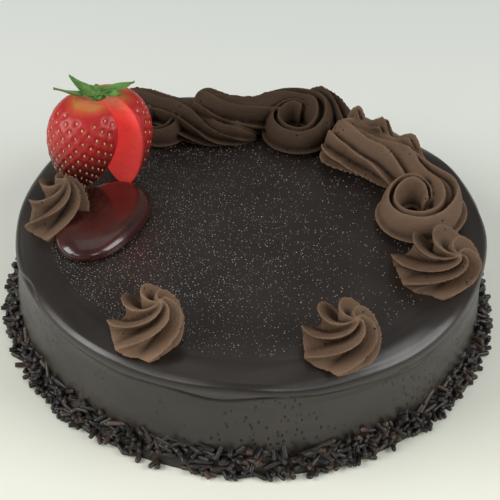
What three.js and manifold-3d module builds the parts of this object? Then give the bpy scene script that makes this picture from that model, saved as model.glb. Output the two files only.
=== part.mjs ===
// A glazed chocolate layer cake, uncut: piped garland, three rosettes, a split strawberry and a pool of jam.
// Millimetres, +Z up. The origin is the middle of the underside and -Y is the front.

import * as THREE from "three";
import { LoftGeometry } from "three/addons/geometries/LoftGeometry.js";
import { mergeVertices } from "three/addons/utils/BufferGeometryUtils.js";
import Module from "manifold-3d";

// Driving dimensions of the cake
const CAKE_RADIUS = 100;
const CAKE_HEIGHT = 47;
const RIM_ROUNDING = 10;
const RIM_BEAD = 1.6;
const TOP_INSET = 2.6;
const TOP_SHIFT = 3.2;
const SKIRT_REACH = 5;
const SKIRT_HEIGHT = 8;
const GAP = 0.35;
const TABLE = CAKE_HEIGHT + GAP;

// Chocolate strands pressed round the foot; every few of them one points outward
const STRAND_COUNT = 120;
const STRAND_LENGTH = 7.4;
const STRAND_RADIUS = 1.0;
const STRAND_SPOKES = 3;
const STRAND_SEED = 11;

// Piping
const RIDGES = 6;
const GROOVE = 0.74;
const ROSETTE_LOBES = 6;
const ROSETTE_GROOVE = 0.6;

// Each scroll is a tail of [x, y, half width, height] that runs into a clockwise curl.
// A curl winds from radius.from to radius.to round its middle, through sweep degrees.
const SCROLLS = {
  piped_scroll_back_left: {
    tail: [[-64, 60, 7, 13], [-54, 63, 11, 18], [-42, 60, 12, 18], [-30, 54, 11, 16], [-19, 50, 10, 13],
      [-9, 50, 7.5, 11], [1, 52, 6, 9]],
    curl: null,
  },
  piped_scroll_back: {
    tail: [[-31, 62, 9, 14], [-23, 61, 14, 19], [-11, 61, 13.5, 18], [2, 62, 11, 17]],
    curl: {
      middle: [18, 55], radius: { from: 13.2, to: 2 }, start: 106, sweep: 470,
      width: { from: 10.8, to: 3.4 }, height: { from: 18.5, to: 13 },
    },
  },
  piped_scroll_right: {
    tail: [[32, 46, 10, 14], [38.5, 42, 16, 18], [48.5, 35.5, 16.5, 18], [59.5, 27.5, 14.5, 18],
      [70, 18, 12, 17]],
    curl: {
      middle: [67.5, -3], radius: { from: 14, to: 2 }, start: 36, sweep: 430,
      width: { from: 9.8, to: 3.4 }, height: { from: 18, to: 13 },
    },
  },
};

// Beside the named scrolls: a curl behind the strawberry, the stroke that sweeps on past the back curl,
// and a row of petals behind the right scroll
const HIDDEN_CURL = {
  tail: [[-64, 52, 6, 9], [-57, 60, 8, 12]],
  curl: {
    middle: [-44, 52], radius: { from: 10, to: 2 }, start: 100, sweep: 400,
    width: { from: 7.5, to: 3 }, height: { from: 13, to: 14 },
  },
};
const SWEEP_ON = {
  tail: [[19, 73, 4, 11], [27, 71, 6.5, 18], [34, 65, 8, 19], [39, 57, 8, 18], [42, 49, 6, 15], [43, 42, 3, 10]],
  curl: null,
};
const PETAL_ROW = {
  tail: [[39, 55, 4, 12], [45, 53, 5, 21], [50, 49, 4, 15], [57, 46, 5, 20.5], [61, 41, 4, 14],
    [68, 36, 5, 18], [75, 27, 4, 13]],
  curl: null,
};

// Each rosette: foot middle, radius, height, where its pulled tip leans to, and the angle of its first lobe.
const ROSETTES = {
  piped_swirl_end: { foot: [73.5, -35.5], radius: 18, height: 17, lean: [7, -9], first: 20 },
  rosette_front_left: { foot: [-37.5, -77.5], radius: 15.2, height: 17, lean: [6, 1], first: 25 },
  rosette_front_right: { foot: [34, -80.5], radius: 15.8, height: 17.5, lean: [5.5, -2], first: 12 },
  rosette_left: { foot: [-79.5, -13], radius: 14.2, height: 16.5, lean: [3, 9], first: 5 },
};

// The strawberry is split lengthways and its halves stand apart on their tips.
const BERRY = { height: 41.5, radius: 16.6, leaf_thickness: 1.1 };
const BERRY_HALVES = {
  strawberry_front_half: { tip: [-74.5, 13], crown: [-67, 16.5], facing: 236 },
  strawberry_back_half: { tip: [-56, 16], crown: [-61, 20.8], facing: 57 },
};
// Leaves of the calyx: [direction, length, width, rise of the tip]
const LEAVES = [[197, 17.5, 3, 4], [164, 12, 6.5, 5], [120, 7, 5.5, 0.2], [68, 7.5, 5.5, 0.2],
  [20, 16, 5.5, 3], [-20, 11, 5.5, 2.5], [-75, 7, 4.5, 1.2], [-130, 7.5, 4, 1.5]];

const JAM = { middle: [-61, -12.5], long: 26.5, short: 17, turn: 68, height: 7 };

const COLOURS = {
  glaze: 0x2a2220,
  buttercream: 0x5a4638,
  strawberry: 0xc43036,
  leaf: 0x4f8a3c,
  jam: 0x5a1c18,
};

const { abs, sin, cos, atan2, PI, max, min, hypot, pow, round } = Math;
const rad = (degrees) => (degrees * PI) / 180;
const lerp = (a, b, t) => a + (b - a) * t;

// Seeded random numbers in 0 to 1
function seeded(seed) {
  let state = seed;
  return () => {
    state = (state * 1664525 + 1013904223) % 4294967296;
    return state / 4294967296;
  };
}

// Joining and cutting of closed bodies
const wasm = await Module();
wasm.setup();

function solidOf(geometry) {
  const bare = new THREE.BufferGeometry().copy(geometry);
  bare.deleteAttribute("normal");
  bare.deleteAttribute("uv");
  const merged = mergeVertices(bare, 1e-4);
  return new wasm.Manifold(
    new wasm.Mesh({
      numProp: 3,
      vertProperties: merged.attributes.position.array,
      triVerts: new Uint32Array(merged.index.array),
    }),
  );
}

// Adds up solids two by two, so that no sum grows long before it is needed
function unite(solids) {
  let rest = solids;
  while (rest.length > 1) {
    const pairs = [];
    for (let i = 0; i < rest.length; i += 2) {
      pairs.push(i + 1 < rest.length ? rest[i].add(rest[i + 1]) : rest[i]);
    }
    rest = pairs;
  }
  return rest[0];
}

function largestBody(solid) {
  return solid.decompose().reduce((a, b) => (b.volume() > a.volume() ? b : a));
}

function geometryOf(solid) {
  const mesh = solid.getMesh();
  const geometry = new THREE.BufferGeometry();
  const points = [];
  for (let i = 0; i < mesh.numVert; i++) {
    points.push(...mesh.vertProperties.slice(i * mesh.numProp, i * mesh.numProp + 3));
  }
  geometry.setAttribute("position", new THREE.Float32BufferAttribute(points, 3));
  geometry.setIndex(Array.from(mesh.triVerts));
  geometry.computeVertexNormals();
  return geometry;
}

// Sections run counterclockwise as seen from the loft's end, looking back
function loft(sections) {
  return solidOf(new LoftGeometry(sections, { capStart: true, capEnd: true }));
}

// Cake: side, soft bead under the rim, rounded rim, flat top. The upper half is a little smaller than the
// foot and sits a little further forward, so the side stands straight in front and leans in at the back.
function cakeBody() {
  const steps = 60;
  const heightOf = (share) => CAKE_HEIGHT - RIM_ROUNDING * share;
  const rings = [
    [0, SKIRT_REACH],
    [2, SKIRT_REACH - 0.6],
    [SKIRT_HEIGHT * 0.6, SKIRT_REACH * 0.4],
    [SKIRT_HEIGHT, 0.2],
    [CAKE_HEIGHT * 0.5, -0.2],
    [heightOf(1.1), 0.1],
    [heightOf(0.85), RIM_BEAD * 0.75],
    [heightOf(0.6), RIM_BEAD],
    [heightOf(0.35), RIM_BEAD * 0.3],
    [heightOf(0.16), -RIM_ROUNDING * 0.34],
    [heightOf(0.05), -RIM_ROUNDING * 0.65],
    [heightOf(0), -RIM_ROUNDING * 1.1],
  ];
  const sections = rings.map(([z, out], level) => {
    const waved = level > 4 && level < 10;
    const upper = min(1, max(0, z / CAKE_HEIGHT - 0.2) / 0.6);
    return Array.from({ length: steps }, (_, i) => {
      const a = (2 * PI * i) / steps;
      const wave = waved ? 0.7 * sin(3 * a + 1) + 0.45 * sin(7 * a) + 0.3 * sin(12 * a + 2) : 0;
      const r = CAKE_RADIUS + out + 0.4 * wave - TOP_INSET * upper;
      const lift = level > 4 && level < 8 ? wave : 0;
      return new THREE.Vector3(r * cos(a), r * sin(a) - TOP_SHIFT * upper, z + lift);
    });
  });
  return loft(sections);
}

// One chocolate strand, lying on the skirt at a given angle round the cake
function strand(around, climb, swing, tilt, length) {
  const out = CAKE_RADIUS + lerp(SKIRT_REACH, 0.4, pow(climb, 0.6));
  const z = lerp(STRAND_RADIUS * 1.05, SKIRT_HEIGHT, climb);
  const shape = new THREE.CylinderGeometry(STRAND_RADIUS, STRAND_RADIUS, length, 6, 1);
  const turn = new THREE.Matrix4()
    .makeRotationZ(around)
    .multiply(new THREE.Matrix4().makeTranslation(out, 0, z))
    .multiply(new THREE.Matrix4().makeRotationX(swing))
    .multiply(new THREE.Matrix4().makeRotationZ(tilt));
  shape.applyMatrix4(turn);
  return solidOf(shape);
}

function strands() {
  const draw = seeded(STRAND_SEED);
  return Array.from({ length: STRAND_COUNT }, (_, i) => {
    const around = (2 * PI * (i + 0.6 * draw())) / STRAND_COUNT;
    const spoke = i % STRAND_SPOKES === 0;
    const climb = ((i * 0.618) % 1) * (spoke ? 0.3 : 1);
    const swing = rad(lerp(-42, 42, draw())) * lerp(0.25, 1, climb);
    const tilt = rad(spoke ? lerp(55, 125, draw()) : lerp(-16, 16, draw()));
    return strand(around, climb, swing, tilt, STRAND_LENGTH * lerp(0.85, 1.1, draw()));
  });
}

function coatedCake() {
  const floor = new THREE.BoxGeometry(4 * CAKE_RADIUS, 4 * CAKE_RADIUS, CAKE_RADIUS);
  floor.translate(0, 0, -CAKE_RADIUS / 2);
  return largestBody(unite([cakeBody(), ...strands()]).subtract(solidOf(floor)));
}

// Stations along a scroll: the tail's own points, then the curl's, worked out round its middle
function scrollPoints({ tail, curl }) {
  const points = tail.map(([x, y, width, height]) => ({ x, y, width, height }));
  if (!curl) return points;
  const count = round(curl.sweep / 38);
  for (let i = 0; i <= count; i++) {
    const t = i / count;
    const angle = rad(curl.start - curl.sweep * t);
    const shrink = pow(t, 1.5);
    const r = lerp(curl.radius.from, curl.radius.to, shrink);
    points.push({
      x: curl.middle[0] + r * cos(angle),
      y: curl.middle[1] + r * sin(angle),
      width: lerp(curl.width.from, curl.width.to, pow(t, 1.3)),
      height: lerp(curl.height.from, curl.height.to, t) - 2.2 * sin(PI * t),
    });
  }
  return points;
}

// Smooth stations with heading and curvature
function scrollStations(points) {
  const places = points.map((p) => new THREE.Vector3(p.x, p.y, 0));
  const path = new THREE.CatmullRomCurve3(places, false, "catmullrom");
  const size = new THREE.CatmullRomCurve3(
    points.map((p) => new THREE.Vector3(p.width, p.height, 0)), false, "catmullrom");
  const count = round((points.length - 1) * 1.6);
  const stations = Array.from({ length: count + 1 }, (_, i) => {
    const t = i / count;
    const at = path.getPoint(t);
    const { x: width, y: height } = size.getPoint(t);
    const before = path.getTangent(max(0, t - 0.5 / count));
    const after = path.getTangent(min(1, t + 0.5 / count));
    const heading = before.clone().add(after).normalize();
    const turned = before.x * after.y - before.y * after.x;
    const run = path.getPoint(max(0, t - 0.5 / count)).distanceTo(path.getPoint(min(1, t + 0.5 / count)));
    return { at, width, height, heading, bend: turned / max(run, 0.01) };
  });
  return stations;
}

// Cross-section of piped cream: a comb of sharp ridges on a dome that stands on the cake
function ridgedSection({ at, width, height, heading, bend }, grow) {
  const ring = [];
  const middle = 0.34 * height;
  const sides = 2 * RIDGES - 1;
  const place = (across, up) => {
    const inside = across * bend < 0;
    const room = inside ? 0.93 / max(abs(bend), 1e-4) : 1e4;
    const held = across / pow(1 + pow(abs(across) / room, 4), 0.25);
    ring.push(new THREE.Vector3(at.x + heading.y * held, at.y - heading.x * held, TABLE + up));
  };
  place(0.86 * (width + grow), 0);
  for (let i = 0; i < sides; i++) {
    const a = rad(lerp(-4, 184, i / (sides - 1)));
    const reach = i % 2 === 0 ? 1 : GROOVE;
    place((width + grow) * reach * cos(a), middle + (height + grow - middle) * reach * sin(a));
  }
  place(-0.86 * (width + grow), 0);
  return ring;
}

// A scroll is lofted in stretches that turn less than half a circle, and the stretches are joined
function scroll(definition, grow = 0) {
  const stations = scrollStations(scrollPoints(definition));
  const first = { ...stations[0], width: stations[0].width * 0.6, height: stations[0].height * 0.6 };
  first.at = stations[0].at.clone().addScaledVector(stations[0].heading, -2.5);
  const rows = [first, ...stations].map((station) => ridgedSection(station, grow));
  const headings = [first, ...stations].map((s) => atan2(s.heading.y, s.heading.x));
  const stretches = [];
  let from = 0;
  let turned = 0;
  for (let i = 1; i < rows.length; i++) {
    const step = headings[i] - headings[i - 1];
    turned += abs(atan2(sin(step), cos(step)));
    if (turned > rad(130) || i === rows.length - 1) {
      stretches.push(loft(rows.slice(max(0, from - 1), i + 1).map((row) => row.slice().reverse())));
      from = i;
      turned = 0;
    }
  }
  return unite(stretches);
}

// A rosette rises in twisting star sections from its foot to a pulled tip
function rosette({ foot, radius, height, lean, first }, grow = 0) {
  const levels = [
    [0, 0.94], [0.16, 1.03], [0.36, 1.02], [0.54, 0.9], [0.7, 0.68], [0.84, 0.4], [0.94, 0.2], [1, 0.08],
  ];
  const points = 2 * ROSETTE_LOBES;
  const sections = levels.map(([up, out]) => {
    const shift = pow(up, 1.6);
    const twist = rad(first + 150 * pow(up, 1.5));
    return Array.from({ length: points }, (_, i) => {
      const a = twist + (2 * PI * i) / points;
      const uneven = 1 + 0.06 * sin(1.7 * i + first);
      const reach = i % 2 === 0 ? uneven : lerp(0.86, ROSETTE_GROOVE, min(1, up * 3));
      const r = (radius + grow) * out * reach;
      return new THREE.Vector3(
        foot[0] + lean[0] * shift + r * cos(a),
        foot[1] + lean[1] * shift + r * sin(a),
        TABLE + (height + grow) * up,
      );
    });
  });
  return loft(sections);
}

// Half a strawberry: half-round sections with a flat cut face, from the tip up to the shoulder
function berryHalf({ tip, crown, facing }, grow = 0) {
  const levels = [
    [0, 0.16], [0.04, 0.3], [0.14, 0.52], [0.3, 0.76], [0.48, 0.93], [0.66, 1], [0.82, 0.93], [0.93, 0.74],
    [1, 0.42],
  ];
  const arc = 10;
  const sections = levels.map(([up, out]) => {
    const r = BERRY.radius * out + grow;
    const x = lerp(tip[0], crown[0], up);
    const y = lerp(tip[1], crown[1], up);
    return Array.from({ length: arc + 1 }, (_, i) => {
      const a = rad(facing - 90 + (180 * i) / arc);
      return new THREE.Vector3(
        x + r * cos(a) - grow * cos(rad(facing)),
        y + r * sin(a) - grow * sin(rad(facing)),
        TABLE + BERRY.height * up,
      );
    });
  });
  return loft(sections);
}

// A leaf of the calyx: a thin wavy strip with the same triangles on both faces
function leaf(root, direction, length, width, rise) {
  const shares = [[0, 0.35], [0.2, 0.8], [0.45, 1], [0.7, 0.8], [0.88, 0.45], [1, 0.08]];
  const along = new THREE.Vector3(cos(direction), sin(direction), 0);
  const across = new THREE.Vector3(-sin(direction), cos(direction), 0);
  const sections = shares.map(([t, share]) => {
    const lift = rise * t * t + 0.5 * sin(t * 5 + direction);
    const middle = root.clone().addScaledVector(along, t * length).add(new THREE.Vector3(0, 0, lift));
    const half = (width / 2) * share;
    const thick = (BERRY.leaf_thickness / 2) * max(share, 0.4);
    const corner = (side, up) =>
      middle.clone().addScaledVector(across, side * half).add(new THREE.Vector3(0, 0, up + 0.9 * abs(side)));
    return [
      corner(-1, -thick * 0.6), corner(0, -thick), corner(1, -thick * 0.6),
      corner(1, thick * 0.6), corner(0, thick), corner(-1, thick * 0.6),
    ];
  });
  return loft(sections);
}

function calyx() {
  const root = new THREE.Vector3(-65, 19, TABLE + BERRY.height + 1.1);
  const hub = new THREE.CylinderGeometry(3.2, 4.2, 1.8, 12);
  hub.rotateX(PI / 2);
  hub.translate(root.x, root.y, root.z);
  const stem = new THREE.CylinderGeometry(1, 1.4, 4, 8);
  stem.rotateX(PI / 2);
  stem.translate(root.x, root.y, root.z + 2);
  const leaves = LEAVES.map(([direction, ...shape]) => leaf(root, rad(direction), ...shape));
  return unite([solidOf(hub), solidOf(stem), ...leaves]);
}

// Jam: a domed oval pool with a steep round edge
function jam(grow = 0) {
  const levels = [[0, 0.93], [0.25, 1], [0.55, 0.97], [0.8, 0.86], [0.94, 0.66], [1, 0.34]];
  const steps = 28;
  const sections = levels.map(([up, out]) =>
    Array.from({ length: steps }, (_, i) => {
      const a = (2 * PI * i) / steps;
      const b = a - rad(JAM.turn);
      const oval = 1 / hypot(cos(b) / JAM.long, sin(b) / JAM.short);
      const r = oval * out * (1 + 0.03 * sin(3 * a)) + grow;
      return new THREE.Vector3(
        JAM.middle[0] + r * cos(a),
        JAM.middle[1] + r * sin(a),
        TABLE + (JAM.height + grow) * up,
      );
    }),
  );
  return loft(sections);
}

// Everything that lies on the cake, each piece cut clear of the pieces that lie over it
function toppings() {
  const { piped_scroll_back_left: left, piped_scroll_back: back, piped_scroll_right: right } = SCROLLS;
  const halves = Object.entries(BERRY_HALVES);
  const grownHalves = unite(halves.map(([, half]) => berryHalf(half, GAP)));
  const rightGarland = (grow = 0) => unite([scroll(right, grow), scroll(PETAL_ROW, grow)]);
  const pieces = {
    piped_scroll_back_left: unite([scroll(left), scroll(HIDDEN_CURL)]).subtract(scroll(back, GAP)),
    piped_scroll_back: unite([scroll(back), scroll(SWEEP_ON)]).subtract(rightGarland(GAP)),
    piped_scroll_right: rightGarland().subtract(rosette(ROSETTES.piped_swirl_end, GAP)),
    piped_swirl_end: rosette(ROSETTES.piped_swirl_end),
    rosette_front_left: rosette(ROSETTES.rosette_front_left),
    rosette_front_right: rosette(ROSETTES.rosette_front_right),
    rosette_left: rosette(ROSETTES.rosette_left).subtract(jam(GAP)).subtract(grownHalves),
    jam_pool: jam().subtract(grownHalves),
    strawberry_calyx: calyx().subtract(grownHalves),
  };
  for (const [name, half] of halves) pieces[name] = berryHalf(half);
  return pieces;
}

function finish(colour, roughness) {
  return new THREE.MeshStandardMaterial({ color: colour, roughness, metalness: 0 });
}

const FINISHES = {
  cake: finish(COLOURS.glaze, 0.35),
  piped: finish(COLOURS.buttercream, 0.75),
  rosette: finish(COLOURS.buttercream, 0.75),
  strawberry: finish(COLOURS.strawberry, 0.35),
  strawberry_calyx: finish(COLOURS.leaf, 0.6),
  jam: finish(COLOURS.jam, 0.08),
};

const sachertorte = new THREE.Group();
const solids = { cake: coatedCake(), ...toppings() };
for (const [name, solid] of Object.entries(solids)) {
  const material = FINISHES[name] ?? FINISHES[name.split("_")[0]];
  const mesh = new THREE.Mesh(geometryOf(largestBody(solid)), material);
  mesh.name = name;
  sachertorte.add(mesh);
}

export default sachertorte;
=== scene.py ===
import math

import bpy
import numpy as np
from bpy.props import FloatProperty, FloatVectorProperty, IntProperty, PointerProperty
from mathutils import Matrix, Vector


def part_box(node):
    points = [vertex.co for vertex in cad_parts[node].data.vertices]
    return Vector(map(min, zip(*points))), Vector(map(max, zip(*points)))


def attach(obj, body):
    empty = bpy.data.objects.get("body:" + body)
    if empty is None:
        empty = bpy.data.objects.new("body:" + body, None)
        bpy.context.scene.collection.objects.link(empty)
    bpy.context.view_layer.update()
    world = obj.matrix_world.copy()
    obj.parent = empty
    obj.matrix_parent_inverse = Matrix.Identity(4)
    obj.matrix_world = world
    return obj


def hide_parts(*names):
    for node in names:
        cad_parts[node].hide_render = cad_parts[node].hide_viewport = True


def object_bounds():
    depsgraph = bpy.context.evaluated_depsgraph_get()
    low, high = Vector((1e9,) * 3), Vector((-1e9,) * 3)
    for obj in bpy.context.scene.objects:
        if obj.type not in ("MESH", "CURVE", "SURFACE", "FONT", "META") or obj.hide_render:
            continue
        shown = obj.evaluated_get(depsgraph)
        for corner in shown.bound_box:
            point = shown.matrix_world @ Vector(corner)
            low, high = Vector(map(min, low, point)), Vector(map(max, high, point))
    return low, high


bl_info = {
    "name": "Glazed Chocolate Torte",
    "version": (1, 0, 0),
    "blender": (4, 5, 0),
    "location": "3D View > Sidebar > Torte",
    "description": "Builds a glazed chocolate cake with piped cream, a split strawberry and strands",
    "category": "Add Mesh",
}

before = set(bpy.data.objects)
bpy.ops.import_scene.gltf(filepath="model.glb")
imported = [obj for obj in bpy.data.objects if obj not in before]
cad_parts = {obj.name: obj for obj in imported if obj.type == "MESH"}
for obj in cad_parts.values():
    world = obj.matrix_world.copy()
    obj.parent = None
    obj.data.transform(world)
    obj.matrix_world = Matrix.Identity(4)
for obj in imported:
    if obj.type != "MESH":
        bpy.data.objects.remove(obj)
CAD_BOX = [list(corner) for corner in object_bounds()]
CAKE_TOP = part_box("cake")[1][2]
MM = 0.001

# Each scroll is a list of strokes. A tail has rows of [x, y, half width, height] in millimetres, and some
# run on into a clockwise curl, which winds from one radius to the next through its sweep in degrees.
SCROLLS = {
    "piped_scroll_back_left": [
        {
            "tail": [[-64, 60, 7, 13], [-54, 63, 11, 18], [-42, 60, 12, 18], [-30, 54, 11, 16],
                     [-19, 50, 10, 13], [-9, 50, 7.5, 11], [1, 52, 6, 9]],
            "curl": None,
        },
        {
            "tail": [[-64, 52, 6, 9], [-57, 60, 8, 12]],
            "curl": {"middle": (-44, 52), "radius": (10, 4.5), "start": 100, "sweep": 330,
                     "width": (7.5, 3), "height": (13, 14)},
        },
    ],
    "piped_scroll_back": [
        {
            "tail": [[-31, 62, 9, 14], [-23, 61, 14, 19], [-11, 61, 13.5, 18], [2, 62, 11, 17]],
            "curl": {"middle": (18, 55), "radius": (13.2, 6.4), "start": 106, "sweep": 410,
                     "width": (10.8, 4.2), "height": (18.5, 13)},
        },
        {
            "tail": [[19, 73, 4, 11], [27, 71, 6.5, 18], [34, 65, 8, 19], [39, 57, 8, 18], [42, 49, 6, 15],
                     [43, 42, 3, 10]],
            "curl": None,
        },
    ],
    "piped_scroll_right": [
        {
            "tail": [[32, 46, 10, 14], [38.5, 42, 16, 18], [48.5, 35.5, 16.5, 18], [59.5, 27.5, 14.5, 18],
                     [70, 18, 12, 17]],
            "curl": {"middle": (67.5, -3), "radius": (14, 6.2), "start": 36, "sweep": 390,
                     "width": (9.8, 4.2), "height": (18, 13)},
        },
        {
            "tail": [[39, 55, 4, 12], [45, 53, 5, 21], [50, 49, 4, 15], [57, 46, 5, 20.5], [61, 41, 4, 14],
                     [68, 36, 5, 18], [75, 27, 4, 13]],
            "curl": None,
        },
    ],
}

# Each rosette: foot middle, radius, height, where its pulled tip leans to, and the angle of its first lobe.
ROSETTES = {
    "piped_swirl_end": {"foot": (73.5, -35.5), "radius": 18, "height": 17, "lean": (7, -9), "first": 20},
    "rosette_front_left": {"foot": (-37.5, -77.5), "radius": 15.2, "height": 17, "lean": (6, 1), "first": 25},
    "rosette_front_right": {
        "foot": (34, -80.5), "radius": 15.8, "height": 17.5, "lean": (5.5, -2), "first": 12},
    "rosette_left": {"foot": (-79.5, -13), "radius": 14.2, "height": 16.5, "lean": (3, 9), "first": 5},
}

# Painted light and shade: how light each piece's cream is painted, darkest for the two scrolls at the back
# where less light falls and lightest for the rosettes at the front; all are the same cream
CREAM_PAINTED_LIGHT = {
    "piped_scroll_back_left": 0.52, "piped_scroll_back": 0.52, "piped_scroll_right": 1.25,
    "piped_swirl_end": 1.28, "rosette_front_left": 1.58, "rosette_front_right": 1.35, "rosette_left": 1.2,
}

# The strawberry's halves stand on their tips; each has its tip, crown and the way its skin faces.
BERRY_HALVES = {
    "strawberry_front_half": {"tip": (-74.5, 13), "crown": (-67, 16.5), "facing": 236},
    "strawberry_back_half": {"tip": (-56, 16), "crown": (-61, 20.8), "facing": 57},
}
BERRY_SHAPE = [(0, 0.16), (0.04, 0.3), (0.14, 0.52), (0.3, 0.76), (0.48, 0.93), (0.66, 1), (0.82, 0.93),
               (0.93, 0.74), (1, 0.42)]
CALYX_HUB = (-65, 19)

# Leaves of the calyx: direction in degrees, length, width and how far the tip rises
LEAVES = [(197, 17.5, 3, 4), (164, 12, 6.5, 5), (120, 7, 5.5, -1), (68, 7.5, 5.5, -1), (20, 16, 5.5, 3),
          (-20, 11, 5.5, 2.5), (-75, 7, 4.5, 1.2), (-130, 7.5, 4, 1.5)]

# Rings of the stem under and above the leaves: height and radius
STEM_SHAPE = [(-1.4, 3.6), (-0.4, 4.2), (0.6, 3.2), (1.0, 1.6), (2.4, 1.2), (3.9, 1.1), (4.2, 0.8)]

# The pool of jam: its middle, its two half widths, the turn of the long one and its height
JAM = {"middle": (-61, -12.5), "long": 26.5, "short": 17, "turn": 68, "height": 7}

# The heap of strands in metres: how far it stands off the cake's side, how far it reaches out, its height
STRAND_HEAP = {"off": 0.0006, "reach": 0.0046, "height": 0.0100}

# Bubbles in metres: radius of the area they lie on, and where they lie closest together
BUBBLE_REACH = 0.084
BUBBLES_DENSEST = (-0.024, -0.002)

# Camera of the studio view: place, target, lens and the small turn about its own axis
CAMERA = {"place": (0, -0.3980, 0.3574), "target": (0, 0, 0.025), "lens": 86.4, "roll": 2.07}

# Soft lights that face the origin: name, place, size and power
LIGHTS = [
    ("left_light", (-1.25, -0.35, 0.85), 0.9, 15.5),
    ("right_light", (1.25, -0.3, 0.85), 0.9, 13),
    ("front_left_light", (-0.6, -0.8, 0.65), 0.35, 1.3),
    ("front_right_light", (0.5, -0.9, 0.65), 0.35, 1.3),
    ("top_light", (0, 0.4, 1.6), 1.2, 2.2),
]


class CakeLooks(bpy.types.PropertyGroup):
    """Sizes and colours of the glazed cake and its chocolate strands"""

    radius: FloatProperty(
        name="Radius", description="Radius of the cake's side", default=0.1, unit="LENGTH")
    rim: FloatProperty(
        name="Rim rounding", description="Height of the glaze's rounded rim", default=0.010, unit="LENGTH")
    inset: FloatProperty(
        name="Top inset", description="How much smaller the upper half is than the foot", default=0.0026,
        unit="LENGTH")
    shift: FloatProperty(
        name="Top shift", description="How far the upper half sits forward of the foot", default=0.0032,
        unit="LENGTH")
    crease: FloatProperty(
        name="Crease depth", description="Depth of the crease where the glaze ran over the rim",
        default=0.0021, unit="LENGTH")
    glaze: FloatVectorProperty(
        name="Glaze", description="Colour of the chocolate glaze", subtype="COLOR", size=3,
        default=(0.0215, 0.0160, 0.0130))
    bubble_gap: FloatProperty(
        name="Bubble gap", description="Least distance between two tiny bubbles on the top", default=0.00094,
        unit="LENGTH")
    bubble_size: FloatProperty(
        name="Bubble size", description="Radius of the largest bubble", default=0.00034, unit="LENGTH")
    strands: IntProperty(
        name="Strands", description="Number of chocolate strands round the foot", default=1350, min=0)
    strand_length: FloatProperty(
        name="Strand length", description="Length of one strand", default=0.0080, unit="LENGTH")
    strand_radius: FloatProperty(
        name="Strand radius", description="Radius of one strand", default=0.00108, unit="LENGTH")
    strand_dark: FloatVectorProperty(
        name="Dark strand", description="Colour of the darkest strands", subtype="COLOR", size=3,
        default=(0.0095, 0.0078, 0.0070))
    strand_light: FloatVectorProperty(
        name="Light strand", description="Colour of the lightest strands", subtype="COLOR", size=3,
        default=(0.085, 0.052, 0.036))


class CreamLooks(bpy.types.PropertyGroup):
    """Sizes and colours of the piped chocolate cream"""

    ridges: IntProperty(
        name="Ridges", description="Ridges round a piped rope", default=9, min=3)
    curl_ridges: IntProperty(
        name="Ridges in a curl", description="Ridges that are left where a rope curls up", default=4, min=3)
    groove: FloatProperty(
        name="Groove", description="Depth of a groove as a share of the rope's half width", default=0.48,
        subtype="FACTOR", min=0, max=1)
    scoop: FloatProperty(
        name="Scoop", description="How hollow a ridge's face is; 1 is flat", default=1.5, min=1)
    lip: FloatProperty(
        name="Lip", description="Share of a ridge that is the steep drop behind its lip", default=0.1,
        subtype="FACTOR", min=0.01, max=0.5)
    lean: FloatProperty(
        name="Ridge lean", description="How far each ridge leans over", default=0.12, subtype="ANGLE")
    lobes: IntProperty(
        name="Lobes", description="Lobes of a rosette", default=6, min=3)
    voxel: FloatProperty(
        name="Fineness", description="Size of the cells in which overlapping cream is joined",
        default=0.00045, unit="LENGTH")
    grain: FloatProperty(
        name="Grain", description="Height of the cream's fine roughness", default=0.00016, unit="LENGTH")
    # Painted shade and light: the colour in grooves darkens the air holes, and the colour on ridges is the
    # cream's colour, painted darker in grooves and lighter on ridges
    dark: FloatVectorProperty(
        name="Cream in grooves", description="Colour of the cream in its grooves", subtype="COLOR", size=3,
        default=(0.0060, 0.0040, 0.0030))
    light: FloatVectorProperty(
        name="Cream on ridges", description="Colour of the cream on its ridges", subtype="COLOR", size=3,
        default=(0.122, 0.077, 0.050))


class FruitLooks(bpy.types.PropertyGroup):
    """Sizes and colours of the strawberry and the jam"""

    height: FloatProperty(
        name="Berry height", description="Height of the strawberry", default=0.0415, unit="LENGTH")
    radius: FloatProperty(
        name="Berry radius", description="Radius of the strawberry at its widest", default=0.0166,
        unit="LENGTH")
    seeds: IntProperty(
        name="Seeds", description="Seeds on the whole berry", default=240, min=0)
    seed_length: FloatProperty(
        name="Seed length", description="Length of one seed", default=0.0014, unit="LENGTH")
    dimple: FloatProperty(
        name="Dimple", description="Depth of the dimple round a seed", default=0.0009, unit="LENGTH")
    skin: FloatVectorProperty(
        name="Skin", description="Colour of the ripe skin", subtype="COLOR", size=3,
        default=(0.40, 0.016, 0.018))
    flesh: FloatVectorProperty(
        name="Flesh", description="Colour of the cut flesh", subtype="COLOR", size=3,
        default=(1.0, 0.10, 0.085))
    leaf: FloatVectorProperty(
        name="Leaf", description="Colour of the leaves", subtype="COLOR", size=3,
        default=(0.125, 0.26, 0.055))
    jam: FloatVectorProperty(
        name="Jam", description="Colour of the jam", subtype="COLOR", size=3, default=(0.046, 0.011, 0.008))


# Small helpers for meshes

def mesh_piece(name, points, faces, finish):
    """A smooth mesh object with its place in its mesh; points are in metres."""
    mesh = bpy.data.meshes.new(name)
    mesh.from_pydata([tuple(p) for p in points], [], faces)
    mesh.materials.append(finish)
    mesh.polygons.foreach_set("use_smooth", [True] * len(mesh.polygons))
    mesh.update()
    piece = bpy.data.objects.new(name, mesh)
    bpy.context.collection.objects.link(piece)
    return piece


def ring_faces(rows, columns, start=0):
    """Quads between closed rings of equal length, wound so that rings from low to high face outwards."""
    faces = []
    for row in range(rows - 1):
        for column in range(columns):
            beside = (column + 1) % columns
            low = start + row * columns
            faces.append((low + column, low + beside, low + columns + beside, low + columns + column))
    return faces


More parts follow.
